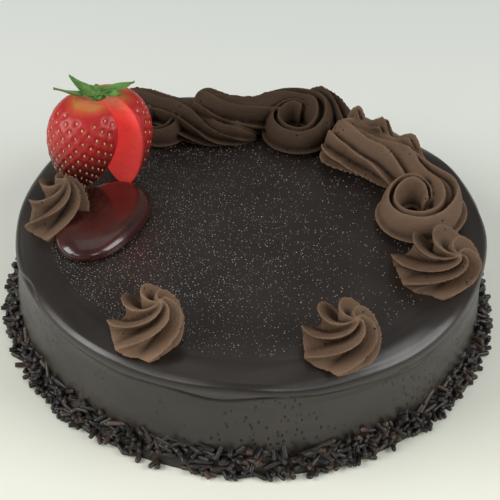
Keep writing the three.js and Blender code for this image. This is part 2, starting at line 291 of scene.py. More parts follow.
def closed_rings(rings):
    """Points and faces of a solid skinned over rings, with a middle point at each end."""
    rings = np.asarray(rings)
    rows, columns = rings.shape[:2]
    points = np.concatenate([rings.reshape(-1, 3), [rings[0].mean(axis=0)], [rings[-1].mean(axis=0)]])
    faces = ring_faces(rows, columns)
    low, high = rows * columns, rows * columns + 1
    last = (rows - 1) * columns
    for column in range(columns):
        beside = (column + 1) % columns
        faces.append((low, beside, column))
        faces.append((high, last + column, last + beside))
    return points, faces


def smooth_rows(rows, steps):
    """A Catmull-Rom curve through rows of numbers, with even steps between neighbours."""
    rows = np.asarray(rows, dtype=float)
    padded = np.concatenate([[2 * rows[0] - rows[1]], rows, [2 * rows[-1] - rows[-2]]])
    out = []
    for i in range(len(rows) - 1):
        p0, p1, p2, p3 = padded[i:i + 4]
        for step in range(steps):
            t = step / steps
            out.append(0.5 * (2 * p1 + (p2 - p0) * t + (2 * p0 - 5 * p1 + 4 * p2 - p3) * t**2
                              + (3 * p1 - p0 - 3 * p2 + p3) * t**3))
    out.append(rows[-1])
    return np.array(out)


def replace_mesh(piece):
    """Turns what the modifiers make of a piece into its own plain mesh."""
    seen = piece.evaluated_get(bpy.context.evaluated_depsgraph_get())
    made = bpy.data.meshes.new_from_object(seen)
    made.name = piece.name
    piece.modifiers.clear()
    piece.data = made
    return piece


# Small helpers for node trees

def add(tree, kind, inputs=None, **settings):
    """Adds a node; an input is either a value or another node's output."""
    node = tree.nodes.new(kind)
    for key, value in settings.items():
        setattr(node, key, value)
    for key, value in (inputs or {}).items():
        if isinstance(value, bpy.types.NodeSocket):
            tree.links.new(value, node.inputs[key])
        else:
            node.inputs[key].default_value = value
    return node


def put(tree, kind, inputs=None, **settings):
    """Adds a node and gives its first output."""
    return add(tree, kind, inputs, **settings).outputs[0]


def calc(tree, operation, *values):
    """One arithmetic step on numbers."""
    return put(tree, "ShaderNodeMath", dict(enumerate(values)), operation=operation)


def times(tree, first, second):
    """The product of two numbers."""
    return calc(tree, "MULTIPLY", first, second)


def plus(tree, first, second):
    """The sum of two numbers."""
    return calc(tree, "ADD", first, second)


def minus(tree, first, second):
    """The first number less the second."""
    return calc(tree, "SUBTRACT", first, second)


def vector(tree, x=0, y=0, z=0):
    """A vector of three numbers."""
    return put(tree, "ShaderNodeCombineXYZ", {0: x, 1: y, 2: z})


def combine(tree, operation, first, second):
    """One arithmetic step on two vectors."""
    return put(tree, "ShaderNodeVectorMath", {0: first, 1: second}, operation=operation)


def scaled(tree, values, factor):
    """A vector or a colour times a number."""
    return put(tree, "ShaderNodeVectorMath", {0: values, "Scale": factor}, operation="SCALE")


def random_value(tree, low, high, seed):
    """A random number for each point, the same each time for the same seed."""
    node = add(tree, "FunctionNodeRandomValue", {2: low, 3: high, "Seed": seed}, data_type="FLOAT")
    return node.outputs[1]


def geometry_tree(name, inputs):
    """An empty geometry tree with named inputs; each input is a name, a socket type and a default."""
    tree = bpy.data.node_groups.new(name, "GeometryNodeTree")
    tree.interface.new_socket("Geometry", in_out="INPUT", socket_type="NodeSocketGeometry")
    for label, kind, default in inputs:
        socket = tree.interface.new_socket(label, in_out="INPUT", socket_type=kind)
        if default is not None:
            socket.default_value = default
    tree.interface.new_socket("Geometry", in_out="OUTPUT", socket_type="NodeSocketGeometry")
    start = tree.nodes.new("NodeGroupInput")
    return tree, start.outputs


def end_tree(tree, geometry, finish):
    """Ends a tree in real, smooth faces with their material."""
    real = put(tree, "GeometryNodeRealizeInstances", {"Geometry": geometry})
    smooth = put(tree, "GeometryNodeSetShadeSmooth", {"Geometry": real})
    painted = put(tree, "GeometryNodeSetMaterial", {"Geometry": smooth, "Material": finish})
    end = tree.nodes.new("NodeGroupOutput")
    tree.links.new(painted, end.inputs[0])


def use_tree(piece, tree, values):
    """Puts a geometry tree on a piece and sets its inputs by their identifiers."""
    modifier = piece.modifiers.new(tree.name, "NODES")
    modifier.node_group = tree
    for item in tree.interface.items_tree:
        if item.item_type == "SOCKET" and item.in_out == "INPUT" and item.name in values:
            modifier[item.identifier] = values[item.name]


def named(tree, name, kind="FLOAT"):
    """Reads a named attribute."""
    return put(tree, "GeometryNodeInputNamedAttribute", {"Name": name}, data_type=kind)


# Materials

def finish_base(name, roughness, **values):
    """A new material, its node tree, its shader and its object coordinates."""
    finish = bpy.data.materials.new(name)
    finish.use_nodes = True
    tree = finish.node_tree
    shader = tree.nodes["Principled BSDF"]
    shader.inputs["Roughness"].default_value = roughness
    for key, value in values.items():
        shader.inputs[key.replace("_", " ")].default_value = value
    place = tree.nodes.new("ShaderNodeTexCoord").outputs["Object"]
    return finish, tree, shader, place


def noise(tree, place, scale, detail=4, roughness=0.55):
    """Cloudy noise in object space; scale is in waves per metre."""
    return put(tree, "ShaderNodeTexNoise",
               {"Vector": place, "Scale": scale, "Detail": detail, "Roughness": roughness})


def ramp(tree, value, *stops):
    """A colour ramp from (place, colour) stops."""
    node = add(tree, "ShaderNodeValToRGB", {"Fac": value})
    elements = node.color_ramp.elements
    while len(elements) < len(stops):
        elements.new(1)
    for element, (place, colour) in zip(elements, stops):
        element.position = place
        element.color = (*colour, 1)
    return node.outputs[0]


def spread(tree, value, low, high, to_low, to_high):
    """Maps a range of numbers onto another, held at both ends."""
    return put(tree, "ShaderNodeMapRange", {"Value": value, "From Min": low, "From Max": high,
                                            "To Min": to_low, "To Max": to_high})


def blend_colours(tree, share, first, second):
    """Mixes two colours."""
    return add(tree, "ShaderNodeMix", {0: share, 6: first, 7: second}, data_type="RGBA").outputs[2]


def bump(tree, shader, height, depth, strength=1.0):
    """Adds relief; depth is in metres."""
    node = add(tree, "ShaderNodeBump", {"Height": height, "Distance": depth, "Strength": strength})
    before = shader.inputs["Normal"].links
    if before:
        tree.links.new(before[0].from_socket, node.inputs["Normal"])
    tree.links.new(node.outputs[0], shader.inputs["Normal"])


def stretched(tree, place, factor):
    """Coordinates that make a pattern flatter where the factor is above 1, and taller below 1."""
    return put(tree, "ShaderNodeMapping", {"Vector": place, "Scale": (1, 1, factor)})


def stored(tree, name):
    """Reads a number that is stored on a piece's points."""
    return add(tree, "ShaderNodeAttribute", attribute_name=name).outputs["Fac"]


def air_holes(tree, place, scale, low, high):
    """Small round holes: 1 inside a hole and 0 beside it."""
    cells = add(tree, "ShaderNodeTexVoronoi", {"Vector": place, "Scale": scale, "Randomness": 1})
    return spread(tree, cells.outputs["Distance"], low, high, 1, 0)


def vary_roughness(tree, shader, clouds, low, high):
    """Lets the roughness follow cloudy noise between two values."""
    tree.links.new(spread(tree, clouds, 0.3, 0.7, low, high), shader.inputs["Roughness"])


def tinted(colour, factor):
    """A lighter or darker copy of a colour."""
    return tuple(min(1, channel * factor) for channel in colour)


def glaze_finish(looks):
    """Satin chocolate glaze: nearly black on top, with pin-holes that have painted shade in them and faint
    rubs on its side.
    """
    finish, tree, shader, place = finish_base("chocolate_glaze", 0.3, Specular_IOR_Level=0.55)
    colour = tuple(looks.glaze)
    clouds = noise(tree, place, 38, 5)
    tint = ramp(tree, clouds, (0.3, tinted(colour, 0.75)), (0.7, tinted(colour, 1.3)))
    hole = air_holes(tree, stretched(tree, place, 0.45), 560, 0.12, 0.28)
    patches = spread(tree, noise(tree, place, 34, 3), 0.42, 0.58, 0, 1)
    height = add(tree, "ShaderNodeSeparateXYZ", {"Vector": place}).outputs[2]
    side = spread(tree, height, CAKE_TOP - 0.006, CAKE_TOP - 0.009, 0, 1)
    pitted = times(tree, times(tree, hole, patches), side)
    # Painted shade: the pin-holes on the side are painted darker than the glaze round them
    tree.links.new(blend_colours(tree, pitted, tint, (0.004, 0.003, 0.003, 1)), shader.inputs["Base Color"])
    satin = spread(tree, noise(tree, stretched(tree, place, 3), 60, 6), 0.3, 0.7, 0.26, 0.38)
    matt = plus(tree, satin, times(tree, side, 0.06))
    tree.links.new(matt, shader.inputs["Roughness"])
    bump(tree, shader, times(tree, pitted, -1), 0.0004)
    bump(tree, shader, noise(tree, place, 160, 4), 0.00006)
    return finish


def bubble_highlight_finish():
    """Tiny dried bubbles in the glaze, painted pale as their highlights."""
    finish, tree, shader, place = finish_base("glaze_bubble_painted_highlight", 0.35)
    # Painted highlight: the bubbles' pale colour stands in for the glints on them
    tint = ramp(tree, noise(tree, place, 900, 2), (0.35, (0.16, 0.135, 0.12)), (0.7, (0.42, 0.37, 0.33)))
    tree.links.new(tint, shader.inputs["Base Color"])
    bump(tree, shader, noise(tree, place, 3000, 2), 0.00005)
    return finish


def strand_finish(looks):
    """Chocolate strands: dark, slightly waxy, some of them lighter and browner."""
    finish, tree, shader, place = finish_base("chocolate_strand", 0.42, Specular_IOR_Level=0.5)
    dark, light = tuple(looks.strand_dark), tuple(looks.strand_light)
    grey = (0.022, 0.0195, 0.0175)
    own = ramp(tree, stored(tree, "tint"), (0.0, dark), (0.6, grey), (0.88, tinted(light, 0.5)), (1.0, light))
    wear = spread(tree, noise(tree, place, 900, 3), 0.35, 0.7, 0.75, 1.25)
    tree.links.new(scaled(tree, own, wear), shader.inputs["Base Color"])
    vary_roughness(tree, shader, noise(tree, place, 700, 3), 0.34, 0.55)
    bump(tree, shader, noise(tree, place, 1500, 3), 0.00008)
    return finish


def cream_finish(looks):
    """Whipped chocolate cream: matt, with painted light on its ridges, painted shade in its grooves, and
    small air holes with painted shade in them.
    """
    finish, tree, shader, place = finish_base("piped_cream", 0.75, Specular_IOR_Level=0.06)
    dark, light = tuple(looks.dark), tuple(looks.light)
    clouds = times(tree, noise(tree, place, 260, 4), 0.15)
    # Painted light and shade: the cream is painted darker in its grooves and lighter on its ridges, with a
    # little cloudy tone
    mixed = plus(tree, times(tree, stored(tree, "ridge"), 0.85), clouds)
    own = ramp(tree, mixed, (0.15, tinted(light, 0.2)), (0.35, tinted(light, 0.65)),
               (0.5, tinted(light, 0.88)), (0.66, tinted(light, 1.05)), (0.85, tinted(light, 1.3)))
    # Painted light and shade: each piece's cream is made lighter or darker by where it stands in the light
    own = scaled(tree, own, stored(tree, "painted_light"))
    patches = spread(tree, noise(tree, place, 130, 2), 0.44, 0.5, 0, 1)
    hole = times(tree, air_holes(tree, place, 260, 0.06, 0.12), patches)
    # Painted shade: the small air holes are painted much darker than the cream round them
    tree.links.new(blend_colours(tree, hole, own, (*tinted(dark, 0.3), 1)), shader.inputs["Base Color"])
    vary_roughness(tree, shader, noise(tree, place, 400, 3), 0.55, 0.72)
    bump(tree, shader, noise(tree, place, 1100, 5), 0.0003)
    bump(tree, shader, times(tree, hole, -1), 0.0004)
    return finish


def skin_finish(looks):
    """Strawberry: skin with painted shade, darker towards its tip and lighter near the top, that pales under
    the crown, and a cut face of its own red that glows with painted light.
    """
    # Painted light: the emission makes the cut face glow
    finish, tree, shader, place = finish_base("strawberry", 0.4, Specular_IOR_Level=0.4,
                                              Emission_Strength=0.28, Subsurface_Weight=0.5,
                                              Subsurface_Radius=(0.006, 0.0012, 0.0008), Subsurface_Scale=1.0)
    cut = stored(tree, "cut")
    skin, flesh = tuple(looks.skin), tuple(looks.flesh)
    clouds = noise(tree, place, 140, 4)
    level = plus(tree, stored(tree, "rise"), times(tree, minus(tree, clouds, 0.5), 0.07))
    # Painted shade: the skin is painted darker towards the tip, where less light falls, and a little lighter
    # near the top; the pale band under the crown is the berry's own colour
    outside = ramp(tree, level, (0.0, (0.08, 0.010, 0.014)), (0.4, (0.12, 0.012, 0.016)), (0.66, skin),
                   (0.95, tinted(skin, 1.15)), (0.985, (0.56, 0.09, 0.03)), (1.0, (0.50, 0.20, 0.05)))
    inside = ramp(tree, stored(tree, "core"), (0.0, (0.62, 0.40, 0.22)), (0.3, (0.66, 0.24, 0.14)),
                  (0.6, (0.80, 0.12, 0.09)), (0.82, flesh), (0.97, tinted(flesh, 0.8)))
    streaks = spread(tree, noise(tree, stretched(tree, place, 3.4), 420, 4), 0.35, 0.65, 0.86, 1.08)
    inside = scaled(tree, inside, streaks)
    tree.links.new(blend_colours(tree, cut, outside, inside), shader.inputs["Base Color"])
    # Painted light: the cut face glows with its flesh colour, brighter than the light that reaches it
    tree.links.new(blend_colours(tree, cut, (0, 0, 0, 1), inside), shader.inputs["Emission Color"])
    vary_roughness(tree, shader, noise(tree, place, 300, 3), 0.3, 0.46)
    bump(tree, shader, noise(tree, place, 900, 3), 0.0001)
    return finish


def seed_finish():
    """Strawberry seeds, straw yellow."""
    finish, tree, shader, place = finish_base("strawberry_seed", 0.45)
    tint = ramp(tree, noise(tree, place, 500, 2), (0.3, (0.50, 0.30, 0.07)), (0.7, (0.80, 0.58, 0.20)))
    tree.links.new(tint, shader.inputs["Base Color"])
    bump(tree, shader, noise(tree, place, 4000, 2), 0.00003)
    return finish


def leaf_finish(looks):
    """Calyx leaves: fresh green, darker and lighter in patches, with a fine relief."""
    finish, tree, shader, place = finish_base("leaf", 0.5, Specular_IOR_Level=0.4)
    leaf = tuple(looks.leaf)
    tint = ramp(tree, noise(tree, place, 220, 4), (0.3, tinted(leaf, 0.55)), (0.55, leaf),
                (0.8, tinted(leaf, 1.6)))
    tree.links.new(tint, shader.inputs["Base Color"])
    vary_roughness(tree, shader, noise(tree, place, 300, 3), 0.42, 0.6)
    bump(tree, shader, noise(tree, place, 1100, 4), 0.0002)
    return finish


def jam_finish(looks):
    """Strained red jam: dark and glossy under a thin clear coat."""
    finish, tree, shader, place = finish_base("jam", 0.2, Specular_IOR_Level=0.5, Coat_Weight=0.4,
                                              Coat_Roughness=0.1)
    jam = tuple(looks.jam)
    tint = ramp(tree, noise(tree, place, 90, 4), (0.3, tinted(jam, 0.6)), (0.7, tinted(jam, 1.4)))
    tree.links.new(tint, shader.inputs["Base Color"])
    vary_roughness(tree, shader, noise(tree, place, 200, 2), 0.16, 0.26)
    bump(tree, shader, noise(tree, place, 70, 2), 0.0002, 0.4)
    return finish


def paint_values(mesh, name, values):
    """Stores one number a point, for a material or a tree to read."""
    attribute = mesh.attributes.new(name, "FLOAT", "POINT")
    attribute.data.foreach_set("value", np.asarray(values, dtype=np.float32))


def stand_for(piece, slot, *nodes):
    """A finished piece takes its body and hides the nodes that it stands for; slot is not used."""
    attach(piece, "root")
    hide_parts(*nodes)


# The glazed cake

def glaze_wave(angle):
    """How the poured glaze waves round the rim, in millimetres."""
    return 0.7 * np.sin(3 * angle + 1) + 0.45 * np.sin(7 * angle) + 0.3 * np.sin(12 * angle + 2)


def crease_line(angle):
    """How far the crease under the rim wanders up and down, in millimetres."""
    return (1.4 * np.sin(2 * angle + 0.8) + 1.5 * np.sin(5 * angle + 2.2) + 1.2 * np.sin(9 * angle + 0.5)
            + 0.7 * np.sin(16 * angle))


def cake_rings(looks):
    """Rings from the foot up the side, over the crease and the rounded rim, and across the top."""
    radius, rim = looks.radius / MM, looks.rim / MM
    top = CAKE_TOP / MM
    outline = smooth_rows([
        [0, 4.0], [2, 3.4], [5, 1.6], [8, 0.25], [14, 0], [23.5, -0.2], [31, -0.1],
        [top - 1.1 * rim, 0.1], [top - 0.85 * rim, 0.5], [top - 0.6 * rim, 0.9], [top - 0.48 * rim, 0.7],
        [top - 0.36 * rim, 0.0], [top - 0.24 * rim, -1.6], [top - 0.14 * rim, -3.9],
        [top - 0.06 * rim, -6.4], [top - 0.02 * rim, -8.8], [top, -12],
    ], 8)
    heights = np.concatenate([np.arange(0, 30, 1.5), np.arange(30, top - 0.25 * rim, 0.35)])
    profile = [[z, np.interp(z, outline[:, 0], outline[:, 1])] for z in heights]
    profile += [row for row in outline.tolist() if row[0] > heights[-1]]
    profile += [[top, out] for out in (-22, -40, -60, -80, -97)]
    angle = np.linspace(0, 2 * math.pi, 480, endpoint=False)
    wave = glaze_wave(angle)
    line = top - 0.8 * rim + crease_line(angle)
    deep = looks.crease / MM * (0.75 + 0.25 * np.sin(3 * angle + 0.6) + 0.25 * np.sin(7 * angle))
    rings = []
    # The glaze waves along the rim, and the crease below the rim is sharp above and fades downward
    for z, out in profile:
        share = np.clip((z - (top - 1.3 * rim)) / (0.5 * rim), 0, 1) * np.clip((top - z) / (0.25 * rim), 0, 1)
        above = 1 / (1 + np.exp(-(z - line) / 0.32))
        crease = deep * (0.55 * (1 - above) * np.exp(-np.maximum(line - z, 0) / 3)
                         + 0.5 * np.exp(-((z - line + 0.25) / 0.6) ** 2))
        r = radius + out + 0.4 * wave * np.minimum(1, share * 1.5) - crease * np.clip((z - 14) / 12, 0, 1)
        r = r + 0.25 * np.sin(9 * angle + 0.06 * z) * np.clip(share, 0, 1)
        lift = 1.5 * wave * share
        upper = min(1, max(0, z / top - 0.2) / 0.6)
        r = (r - looks.inset / MM * upper) if z < top else r * (1 - looks.inset / looks.radius)
        y = r * np.sin(angle) - looks.shift / MM * upper
        rings.append(np.stack([r * np.cos(angle), y, np.full_like(angle, z) + lift], axis=1))
    return np.array(rings) * MM


class TORTE_OT_glazed_cake(bpy.types.Operator):
    """Makes the uncut cake under its chocolate glaze"""

    bl_idname = "torte.glazed_cake"
    bl_label = "Glazed cake"

    def execute(self, context):
        looks = context.scene.torte_cake
        points, faces = closed_rings(cake_rings(looks))
        cake = mesh_piece("glazed_cake", points, faces, glaze_finish(looks))
        stand_for(cake, "chocolate_glaze", "cake")
        return {"FINISHED"}


def bubble_tree():
    """Bubbles spread evenly on a round area, thinning out away from where they are densest."""
    tree, given = geometry_tree("glaze_bubbles", [
        ("Gap", "NodeSocketFloat", 0.0013), ("Size", "NodeSocketFloat", 0.0003),
        ("Reach", "NodeSocketFloat", BUBBLE_REACH), ("Height", "NodeSocketFloat", 0.047),
        ("Densest", "NodeSocketVector", (0, 0, 0)), ("Material", "NodeSocketMaterial", None)])
    disc = put(tree, "GeometryNodeMeshCircle", {"Vertices": 96, "Radius": given["Reach"]}, fill_type="NGON")
    raised = vector(tree, 0, -0.003, given["Height"])
    disc = put(tree, "GeometryNodeTransform", {"Geometry": disc, "Translation": raised})
    spot = tree.nodes.new("GeometryNodeInputPosition").outputs[0]
    clouds = put(tree, "ShaderNodeTexNoise", {"Scale": 45, "Detail": 2})
    far = add(tree, "ShaderNodeVectorMath", {0: spot, 1: given["Densest"]}, operation="DISTANCE")
    thin = spread(tree, far.outputs["Value"], 0.05, 0.105, 1, 0.08)
    patchy = times(tree, thin, spread(tree, clouds, 0.3, 0.5, 0.6, 1))
    points = put(tree, "GeometryNodeDistributePointsOnFaces", {
        "Mesh": disc, "Distance Min": given["Gap"], "Density Max": 3000000, "Density Factor": patchy,
        "Seed": 3}, distribute_method="POISSON")
    bead = put(tree, "GeometryNodeMeshIcoSphere", {"Radius": given["Size"], "Subdivisions": 1})
    size = random_value(tree, 0, 1, 5)
    grown = plus(tree, times(tree, calc(tree, "POWER", size, 2), 0.5), 0.5)
    flat = vector(tree, grown, grown, times(tree, grown, 0.8))
    beads = put(tree, "GeometryNodeInstanceOnPoints", {"Points": points, "Instance": bead, "Scale": flat})
    end_tree(tree, beads, given["Material"])
    return tree


class TORTE_OT_glaze_bubbles(bpy.types.Operator):
    """Scatters the tiny dried bubbles over the glazed top"""

    bl_idname = "torte.glaze_bubbles"
    bl_label = "Glaze bubbles"

    def execute(self, context):
        looks = context.scene.torte_cake
        finish = bubble_highlight_finish()
        piece = mesh_piece("glaze_bubbles", [(0, 0, 0)], [], finish)
        use_tree(piece, bubble_tree(), {
            "Gap": looks.bubble_gap, "Size": looks.bubble_size, "Reach": BUBBLE_REACH, "Height": CAKE_TOP,
            "Densest": (*BUBBLES_DENSEST, CAKE_TOP), "Material": finish})
        stand_for(replace_mesh(piece), "chocolate_glaze", "cake")
        return {"FINISHED"}


def strand_tree():
    """Strands heaped against the foot of the cake, each a short blunt rod turned its own way."""
    tree, given = geometry_tree("chocolate_strands", [
        ("Count", "NodeSocketInt", 1350), ("Length", "NodeSocketFloat", 0.007),
        ("Thickness", "NodeSocketFloat", 0.001), ("Foot radius", "NodeSocketFloat", 0.1),
        ("Reach", "NodeSocketFloat", 0.004), ("Heap height", "NodeSocketFloat", 0.0095),
        ("Lowest", "NodeSocketVector", (-1, -1, 0)), ("Highest", "NodeSocketVector", (1, 1, 1)),
        ("Material", "NodeSocketMaterial", None)])
    half = times(tree, given["Length"], 0.5)
    line = put(tree, "GeometryNodeCurvePrimitiveLine", {
        "Start": vector(tree, times(tree, half, -1)), "End": vector(tree, half)})
    line = put(tree, "GeometryNodeResampleCurve", {"Curve": line, "Count": 7})
    along = add(tree, "GeometryNodeSplineParameter").outputs["Factor"]
    from_middle = minus(tree, times(tree, along, 2), 1)
    spot = calc(tree, "ABSOLUTE", from_middle)
    pushed = times(tree, calc(tree, "SIGN", from_middle), calc(tree, "POWER", spot, 0.3))
    moved = vector(tree, times(tree, pushed, half))
    line = put(tree, "GeometryNodeSetPosition", {"Geometry": line, "Position": moved})
    blunt = minus(tree, 1, times(tree, calc(tree, "POWER", spot, 14), 0.3))
    radius = times(tree, blunt, given["Thickness"])
    line = put(tree, "GeometryNodeSetCurveRadius", {"Curve": line, "Radius": radius})
    round_edge = put(tree, "GeometryNodeCurvePrimitiveCircle", {"Resolution": 7, "Radius": 1.0})
    rod = put(tree, "GeometryNodeCurveToMesh", {"Curve": line, "Profile Curve": round_edge, "Fill Caps": True,
                                                "Scale": radius})
    around = random_value(tree, 0, 2 * math.pi, 21)
    share = random_value(tree, 0, 1, 22)
    climb = calc(tree, "POWER", share, 1.25)
    left = minus(tree, 1, climb)
    inward = random_value(tree, 0, 0.0016, 23)
    outward = times(tree, given["Reach"], calc(tree, "POWER", left, 1.3))
    out = plus(tree, given["Foot radius"], minus(tree, outward, inward))
    height = plus(tree, times(tree, climb, given["Heap height"]), 0.0010)
    where = vector(tree, times(tree, out, calc(tree, "COSINE", around)),
                   times(tree, out, calc(tree, "SINE", around)), height)
    points = put(tree, "GeometryNodePoints", {"Count": given["Count"], "Position": where})
    yaw = plus(tree, plus(tree, around, math.pi / 2), random_value(tree, -1.5, 1.5, 24))
    pitch = times(tree, random_value(tree, -0.75, 0.75, 25), plus(tree, climb, 0.15))
    turned = vector(tree, 0, pitch, yaw)
    long = random_value(tree, 0.72, 1.08, 26)
    thick = random_value(tree, 0.88, 1.08, 27)
    sized = vector(tree, long, thick, thick)
    rods = put(tree, "GeometryNodeInstanceOnPoints", {
        "Points": points, "Instance": rod, "Rotation": turned, "Scale": sized})
    tinted_rods = put(tree, "GeometryNodeStoreNamedAttribute", {
        "Geometry": rods, "Name": "tint", "Value": random_value(tree, 0, 1, 28)},
        data_type="FLOAT", domain="INSTANCE")
    real = put(tree, "GeometryNodeRealizeInstances", {"Geometry": tinted_rods})
    spot = tree.nodes.new("GeometryNodeInputPosition").outputs[0]
    held = combine(tree, "MINIMUM", combine(tree, "MAXIMUM", spot, given["Lowest"]), given["Highest"])
    settled = put(tree, "GeometryNodeSetPosition", {"Geometry": real, "Position": held})
    end_tree(tree, settled, given["Material"])
    return tree


class TORTE_OT_chocolate_strands(bpy.types.Operator):
    """Heaps the chocolate strands round the foot of the cake"""

    bl_idname = "torte.chocolate_strands"
    bl_label = "Chocolate strands"

    def execute(self, context):
        looks = context.scene.torte_cake
        finish = strand_finish(looks)
        piece = mesh_piece("chocolate_strands", [(0, 0, 0)], [], finish)
        use_tree(piece, strand_tree(), {
            "Count": looks.strands, "Length": looks.strand_length, "Thickness": looks.strand_radius,
            "Foot radius": looks.radius + STRAND_HEAP["off"], "Reach": STRAND_HEAP["reach"],
            "Heap height": STRAND_HEAP["height"],
            "Lowest": (CAD_BOX[0][0], CAD_BOX[0][1], 0.0001), "Highest": tuple(CAD_BOX[1]),
            "Material": finish})
        stand_for(replace_mesh(piece), "chocolate_strand", "cake")
        return {"FINISHED"}


# Piped cream

def scroll_rows(definition):
    """Rows of x, y, half width and height along a stroke: its tail, then its curl."""
    rows = [list(row) for row in definition["tail"]]
    curl = definition["curl"]
    if not curl:
        return rows
    # A row for about every 38 degrees, and the far side of a curl stands higher than its near side
    count = round(curl["sweep"] / 38)
    for i in range(count + 1):
        t = i / count
        angle = math.radians(curl["start"] - curl["sweep"] * t)
        r = np.interp(t**1.2, [0, 1], curl["radius"])
        high = np.interp(t, [0, 1], curl["height"]) + 3.6 * math.sin(angle) * min(1, 3 * t)
        rows.append([curl["middle"][0] + r * math.cos(angle), curl["middle"][1] + r * math.sin(angle),
                     np.interp(t, [0, 1], curl["width"]), high])
    return rows


def stroke_route(name, definitions, looks):
    """A mesh of edges along the strokes, whose points carry what the rope needs to know."""
    points, edges = [], []
    values = {"half_width": [], "dome": [], "room": [], "inner": [], "roll": [], "ridges": [], "depth": [],
              "crest": []}
    sides = []
    for definition in definitions:
        rows = smooth_rows(scroll_rows(definition), 12)
        along = np.arange(len(rows))
        # Both ends taper, but the inner end of a curl stays full
        ends = np.minimum(along / 6, 1) ** 0.6
        if not definition["curl"]:
            ends *= np.minimum((len(rows) - 1 - along) / 10, 1) ** 0.6
        curled = np.clip((along - 12 * len(definition["tail"]) + 40) / 60, 0, 1)
        place = rows[:, :2]
        heading = np.gradient(place, axis=0)
        heading /= np.linalg.norm(heading, axis=1)[:, None]
        turn = np.unwrap(np.arctan2(heading[:, 1], heading[:, 0]))
        run = np.concatenate([[0], np.cumsum(np.linalg.norm(np.diff(place, axis=0), axis=1))])
        bend = np.gradient(turn, run)
        bend = np.convolve(np.pad(bend, 4, mode="edge"), np.ones(9) / 9, mode="valid")
        start = len(points)
        points += [(x * MM, y * MM, CAKE_TOP) for x, y in place]
        edges += [(i, i + 1) for i in range(start, len(points) - 1)]
        sides += [(h[1], -h[0], 0) for h in heading]
        # A hand-squeezed bag gives a little more and less along the way
        pumped = 1 + 0.05 * np.sin(run / 4.6 + start)
        values["half_width"] += list(rows[:, 2] * MM * (0.35 + 0.65 * ends) * pumped)
        values["dome"] += list(rows[:, 3] * MM * (0.4 + 0.6 * ends) * pumped)
        values["room"] += list(0.95 / np.maximum(np.abs(bend), 1e-3) * MM)
        values["inner"] += list(-np.sign(bend))
        # In a curl the ridges stop wandering, and are fewer and shallower
        wander = 0.026 * run + 0.25 * np.sin(run / 7.5 + start)
        settled = np.round(wander[np.argmin(np.abs(curled - 0.5))]) + 0.1
        values["roll"] += list(wander * (1 - curled) + settled * curled)
        values["ridges"] += list(looks.ridges + (looks.curl_ridges - looks.ridges) * curled)
        values["depth"] += list(looks.groove * (1 - 0.25 * curled))
        values["crest"] += list(0.07 * (1 - curled))
    mesh = bpy.data.meshes.new(name)
    mesh.from_pydata(points, edges, [])
    for key, numbers in values.items():
        paint_values(mesh, key, numbers)
    side = mesh.attributes.new("side", "FLOAT_VECTOR", "POINT")
    side.data.foreach_set("vector", np.asarray(sides, dtype=np.float32).ravel())
    middle = mesh.attributes.new("middle", "FLOAT_VECTOR", "POINT")
    middle.data.foreach_set("vector", np.asarray(points, dtype=np.float32).ravel())
    piece = bpy.data.objects.new(name, mesh)
    bpy.context.collection.objects.link(piece)
    return piece


def rope_tree():
    """Piped rope along a route: a ring of sharp ridges, domed and flat where it stands on the cake."""
    tree, given = geometry_tree("piped_rope", [
        ("Scoop", "NodeSocketFloat", 1.5), ("Lip", "NodeSocketFloat", 0.1), ("Lean", "NodeSocketFloat", 0.12),
        ("Sink", "NodeSocketFloat", 0.0002), ("Material", "NodeSocketMaterial", None)])
    route = put(tree, "GeometryNodeMeshToCurve", {"Mesh": given["Geometry"]})
    circle = put(tree, "GeometryNodeCurvePrimitiveCircle", {"Resolution": 160, "Radius": MM})
    along = add(tree, "GeometryNodeSplineParameter").outputs["Factor"]
    circle = put(tree, "GeometryNodeStoreNamedAttribute", {
        "Geometry": circle, "Name": "around", "Value": along}, data_type="FLOAT", domain="POINT")
    rope = put(tree, "GeometryNodeCurveToMesh", {
        "Curve": route, "Profile Curve": circle, "Fill Caps": True})
    around = named(tree, "around")
    from_top = minus(tree, calc(tree, "FRACT", plus(tree, around, 0.25)), 0.5)
    from_crest = minus(tree, from_top, named(tree, "crest"))
    uphill = times(tree, calc(tree, "SIGN", from_crest), -1)
    climb = times(tree, times(tree, calc(tree, "ABSOLUTE", from_crest), -1), named(tree, "ridges"))
    phase = calc(tree, "FRACT", plus(tree, climb, plus(tree, named(tree, "roll"), 20)))
    face = minus(tree, 1, calc(tree, "POWER", phase, given["Scoop"]))
    drop = minus(tree, 1, calc(tree, "DIVIDE", minus(tree, 1, phase), given["Lip"]))
    between = calc(tree, "MAXIMUM", face, drop)
    reach = minus(tree, 1, times(tree, named(tree, "depth"), between))
    ridge = times(tree, minus(tree, 1, between), uphill)
    angle = plus(tree, times(tree, around, 2 * math.pi), times(tree, given["Lean"], ridge))
    width, dome = named(tree, "half_width"), named(tree, "dome")
    across = times(tree, times(tree, width, reach), calc(tree, "COSINE", angle))
    inside = calc(tree, "GREATER_THAN", times(tree, across, named(tree, "inner")), 0)
    room = calc(tree, "DIVIDE", calc(tree, "ABSOLUTE", across), named(tree, "room"))
    crowded = times(tree, inside, calc(tree, "POWER", room, 4))
    squeeze = calc(tree, "POWER", plus(tree, 1, crowded), 0.25)
    held = calc(tree, "DIVIDE", across, squeeze)
    sine = calc(tree, "SINE", angle)
    above = calc(tree, "GREATER_THAN", sine, 0)
    share = plus(tree, times(tree, above, 0.66), times(tree, minus(tree, 1, above), 0.42))
    rise = times(tree, times(tree, sine, reach), share)
    up = times(tree, dome, plus(tree, 0.34, rise))
    lift = minus(tree, calc(tree, "MAXIMUM", up, 0), given["Sink"])
    shift = scaled(tree, named(tree, "side", "FLOAT_VECTOR"), held)
    place = combine(tree, "ADD", named(tree, "middle", "FLOAT_VECTOR"), shift)
    place = combine(tree, "ADD", place, vector(tree, 0, 0, lift))
    shaped = put(tree, "GeometryNodeSetPosition", {"Geometry": rope, "Position": place})
    end_tree(tree, shaped, given["Material"])
    return tree


